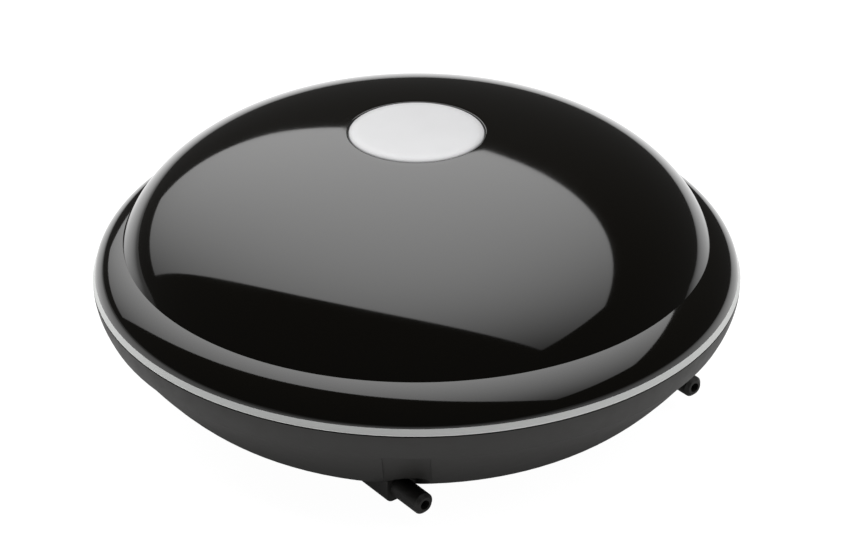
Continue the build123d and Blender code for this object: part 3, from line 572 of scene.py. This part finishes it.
# --- the turned pieces ---------------------------------------------------------------------------
def cover_curve(inset):
    """The cover's lip, shoulder and dome from the rim to the button's hole, moved inwards by an inset."""

    def arch(*controls):
        return bezier(*((radius - inwards * inset, height - down * inset)
                        for radius, height, inwards, down in controls))

    lip = arch(LIP, LIP_BEND, KNEE)
    shoulder = arch(KNEE, LOW_SWELL, HIGH_SWELL, CREASE)
    dome = arch(CREASE, HAUNCH, CROWN, POLE)
    hole = HOLE_R + HOLE_EDGE
    kept = [point for point in dome if point.x > hole + MERGE_DISTANCE]
    last, beyond = kept[-1], dome[len(kept)]
    share = (last.x - hole) / (last.x - beyond.x)
    return lip[:-1] + shoulder[:-1] + kept + [last.lerp(beyond, share)]


def cover_shell(material):
    """The glossy cover, as an even wall with a softened edge round the button's hole."""
    outer, inner = cover_curve(0.0), cover_curve(COVER_WALL)
    top, under = outer[-1], inner[-1]
    edge = bezier(top, (HOLE_R, top.y), (HOLE_R, top.y - HOLE_EDGE))[1:]
    outline = outer + edge + [Vector((HOLE_R, under.y))] + inner[::-1]
    spin("cover_shell", outline, "top_cover", "case", material)


def trim_band(material):
    """The silver ring, with its lower edge rounded."""
    edge_end = (RING_R - RING_EDGE_LEAN * RING_EDGE_R, RING_Z + RING_EDGE_R)
    low_edge = bezier((RING_R - RING_EDGE_R, RING_Z), (RING_R, RING_Z), edge_end)
    rest = [Vector((RIM_R, RING_TOP)), Vector((RING_INNER_R, RING_TOP)), Vector((RING_INNER_R, RING_Z))]
    spin("trim_band", low_edge + rest, "trim_ring", "case", material)


def button_cap(material):
    """The crowned cap of the button, with its soft bevel and its skirt."""
    top = POLE_Z + BUTTON_PROUD
    bevel_r = BUTTON_R - BUTTON_BEVEL
    crown = bezier((0, top), (0.5 * bevel_r, top), (bevel_r, top - BUTTON_CROWN_DROP))
    bend = (BUTTON_R - BEVEL_BEND_IN, crown[-1].y - BEVEL_BEND_DROP)
    bevel = bezier(crown[-1], bend, (BUTTON_R, top - BUTTON_DROP))
    inner_r = BUTTON_R - BUTTON_WALL
    ceiling = top - BUTTON_DROP - BUTTON_WALL
    skirt = [
        Vector((BUTTON_R, BUTTON_SKIRT_Z)),
        Vector((inner_r, BUTTON_SKIRT_Z)),
        Vector((inner_r, ceiling)),
        Vector((0, ceiling)),
    ]
    spin("button_cap", crown + bevel[1:] + skirt, "push_button", "button", material)


# --- the soft pieces, which bend between two bodies ----------------------------------------------
def coil_spring(material):
    """The button's spring. Its lower end stays in the case while its upper end goes down with the button."""
    low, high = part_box("button_spring")
    start, rise = low.z + WIRE_R, high.z - low.z - 2 * WIRE_R
    steps = COIL_TURNS * COIL_STEPS
    points = []
    for step in range(steps + 1):
        angle = 2 * math.pi * step / COIL_STEPS
        outward = Vector((math.cos(angle), math.sin(angle), 0))
        middle = outward * COIL_R + Vector((0, 0, start + rise * step / steps))
        for side in range(WIRE_SIDES):
            turn = 2 * math.pi * side / WIRE_SIDES
            points.append(middle + (outward * math.cos(turn) + Vector((0, 0, math.sin(turn)))) * WIRE_R)
    faces = [tuple(range(WIRE_SIDES)), tuple(range(steps * WIRE_SIDES, (steps + 1) * WIRE_SIDES))]
    for step in range(steps):
        for side in range(WIRE_SIDES):
            here, beside = step * WIRE_SIDES + side, step * WIRE_SIDES + (side + 1) % WIRE_SIDES
            faces.append((here, beside, beside + WIRE_SIDES, here + WIRE_SIDES))
    piece = add_mesh("coil_spring", points, faces)
    tidy_mesh(piece, material)
    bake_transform(piece, "case", "button", (0, 0, low.z), (0, 0, high.z))
    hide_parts("button_spring")


def arc(radius, first, last):
    """Points round a half circle of the diaphragm's roll, between two angles in degrees."""
    turns = [math.radians(first + (last - first) * i / ROLL_STEPS) for i in range(ROLL_STEPS + 1)]
    return [(ROLL_R + radius * math.cos(turn), -radius * math.sin(turn)) for turn in turns]


def diaphragm(side, name, material):
    """A rubber disc with a roll round it. Its rim stays in the case while its middle moves with the arm."""
    node = "diaphragm_" + name
    low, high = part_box(node)
    thickness = high.x - low.x - ROLL_OUT
    outline = [(STEM_R, 0)] + arc(ROLL_OUT, 180, 0) + [(DISC_R, 0), (DISC_R, thickness)]
    outline += [(ROLL_R + ROLL_IN, thickness)] + arc(ROLL_IN, 0, 180)
    outline += [(ROLL_R - ROLL_IN, thickness), (STEM_R, thickness)]
    piece = turned("rubber_" + node, outline, material, DISC_STEPS)
    face_x = low.x + ROLL_OUT if side > 0 else high.x - ROLL_OUT
    middle = Vector((face_x, (low.y + high.y) / 2, (low.z + high.z) / 2))
    piece.data.transform(Matrix.Translation(middle) @ Matrix.Rotation(side * math.pi / 2, 4, "Y"))
    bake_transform(piece, "case", "arm_" + name, middle, middle + Vector((side * thickness, 0, 0)))
    blend_across_roll(piece, middle)
    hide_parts(node)


def blend_across_roll(piece, middle):
    """Lets a point follow the arm inside the roll and the case outside it, with a smooth step between."""
    weights = piece.data.attributes["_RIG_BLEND"].data
    for point, weight in zip(piece.data.vertices, weights):
        radius = (point.co - middle).yz.length
        share = min(max((ROLL_R + ROLL_OUT - radius) / (2 * ROLL_OUT), 0.0), 1.0)
        weight.value = share * share * (3 - 2 * share)


# --- the studio ----------------------------------------------------------------------------------
def fading_glow(name):
    """A material that only gives off light, brightest in one direction and dimmer with the angle from it."""
    made, nodes, links, surface = new_material(name)
    nodes.remove(surface)
    unit = nodes.new("ShaderNodeVectorMath")
    unit.operation = "NORMALIZE"
    links.new(object_point(nodes), unit.inputs[0])
    facing = nodes.new("ShaderNodeVectorMath")
    facing.operation = "DOT_PRODUCT"
    facing.inputs[1].default_value = direction(*PANEL_BRIGHTEST)
    links.new(unit.outputs["Vector"], facing.inputs[0])
    falloff = calculate(nodes, links, "POWER", facing.outputs["Value"], PANEL_FALLOFF)
    strength = calculate(nodes, links, "MULTIPLY", falloff, PANEL_RADIANCE)
    glow = nodes.new("ShaderNodeEmission")
    links.new(strength, glow.inputs["Strength"])
    links.new(glow.outputs["Emission"], nodes["Material Output"].inputs["Surface"])
    return made


def soft_panel():
    """One large soft light overhead: a fan of points from its middle out to its straight edges."""
    middle = direction(*PANEL_BRIGHTEST)
    corners = [direction(*corner) for corner in PANEL_CORNERS]
    rim = []
    for start, end in zip(corners, corners[1:] + corners[:1]):
        rim += [start.slerp(end, step / PANEL_EDGE_STEPS) for step in range(PANEL_EDGE_STEPS)]
    points = [middle * STUDIO_RADIUS]
    for ring in range(1, PANEL_RINGS + 1):
        points += [middle.slerp(point, ring / PANEL_RINGS) * STUDIO_RADIUS for point in rim]
    count = len(rim)
    faces = [(0, 1 + i, 1 + (i + 1) % count) for i in range(count)]
    for ring in range(PANEL_RINGS - 1):
        inner = 1 + ring * count
        outer = inner + count
        for i in range(count):
            after = (i + 1) % count
            faces.append((inner + i, outer + i, outer + after, inner + after))
    panel = add_mesh("soft_panel", points, faces)
    panel.data.materials.append(fading_glow("panel_glow"))
    panel.visible_camera = False


def camera_only(nodes, links, elsewhere, seen):
    """A strength that is `seen` where the camera looks, and `elsewhere` in every reflection."""
    path = nodes.new("ShaderNodeLightPath")
    return map_range(nodes, links, path.outputs["Is Camera Ray"], 0.0, 1.0, elsewhere, seen)


def floor_glow(nodes, links):
    """The floor's glow in reflections: a painted pool of light dimmed far away, and a painted shade where the
    pump's own shade falls.
    """
    length = nodes.new("ShaderNodeVectorMath")
    length.operation = "LENGTH"
    links.new(object_point(nodes), length.inputs[0])
    distance = length.outputs["Value"]
    shade = map_range(nodes, links, distance, SHADE_START, SHADE_END, SHADE_GLOW, 1.0, smooth=True)
    pool = map_range(nodes, links, distance, GLOW_START, GLOW_END, FLOOR_GLOW, FLOOR_GLOW_FAR, smooth=True)
    return calculate(nodes, links, "MULTIPLY", shade, pool)


def floor_table():
    """A matte surface lit from below: white to the camera, and with its own glow in reflections, which
    carries a painted pool of light and a painted shade under the pump.
    """
    made = plastic(
        "floor_light_table",
        shades=FLOOR_SHADES,
        roughness=(0.8, 0.9),
        grain=0.002,
        depth=0.00001,
        blotch=0.3,
        Specular_IOR_Level=0.0,
        Emission_Color=(1, 1, 1, 1),
    )
    nodes, links = made.node_tree.nodes, made.node_tree.links
    strength = camera_only(nodes, links, floor_glow(nodes, links), FLOOR_GLOW_SEEN)
    links.new(strength, nodes["Principled BSDF"].inputs["Emission Strength"])
    return made


def floor():
    """A plain pale floor with a straight back edge, whose line shows in the cover's gloss."""
    back = direction(FLOOR_BACK_AZIMUTH, 0)
    side = direction(FLOOR_BACK_AZIMUTH + 90, 0) * FLOOR_REACH
    near, far = -back * FLOOR_REACH, back * FLOOR_BACK_DISTANCE
    made = add_mesh("floor", [near - side, near + side, far + side, far - side], [(0, 1, 2, 3)])
    made.data.materials.append(floor_table())


def surroundings():
    """White where the camera looks past the floor, and dim in every reflection."""
    world = bpy.data.worlds.new("studio")
    world.use_nodes = True
    nodes, links = world.node_tree.nodes, world.node_tree.links
    background = nodes["Background"]
    background.inputs["Color"].default_value = (1, 1, 1, 1)
    strength = camera_only(nodes, links, SURROUNDINGS, SURROUNDINGS_SEEN)
    links.new(strength, background.inputs["Strength"])
    bpy.context.scene.world = world


def camera():
    """The camera looks down at the pump, past one outlet."""
    outward = direction(180, VIEW_ELEVATION)
    data = bpy.data.cameras.new("camera")
    data.sensor_width = SENSOR_WIDTH
    data.lens = LENS
    data.clip_end = 3 * STUDIO_RADIUS
    made = bpy.data.objects.new("camera", data)
    made.location = VIEW_TARGET + outward * VIEW_DISTANCE
    made.rotation_euler = (-outward).to_track_quat("-Z", "Y").to_euler()
    bpy.context.scene.collection.objects.link(made)
    bpy.context.scene.camera = made


finished = {build.__name__: build() for build in SLOT_MATERIALS}
dress_nodes(finished)
cover_shell(finished["gloss_black"])
trim_band(finished["satin_silver"])
button_cap(finished["white_cap"])
coil_spring(finished["steel"])
diaphragm(1, "right", finished["dark_rubber"])
diaphragm(-1, "left", finished["dark_rubber"])
surroundings()
soft_panel()
floor()
camera()
bpy.context.scene.view_settings.view_transform = "Standard"
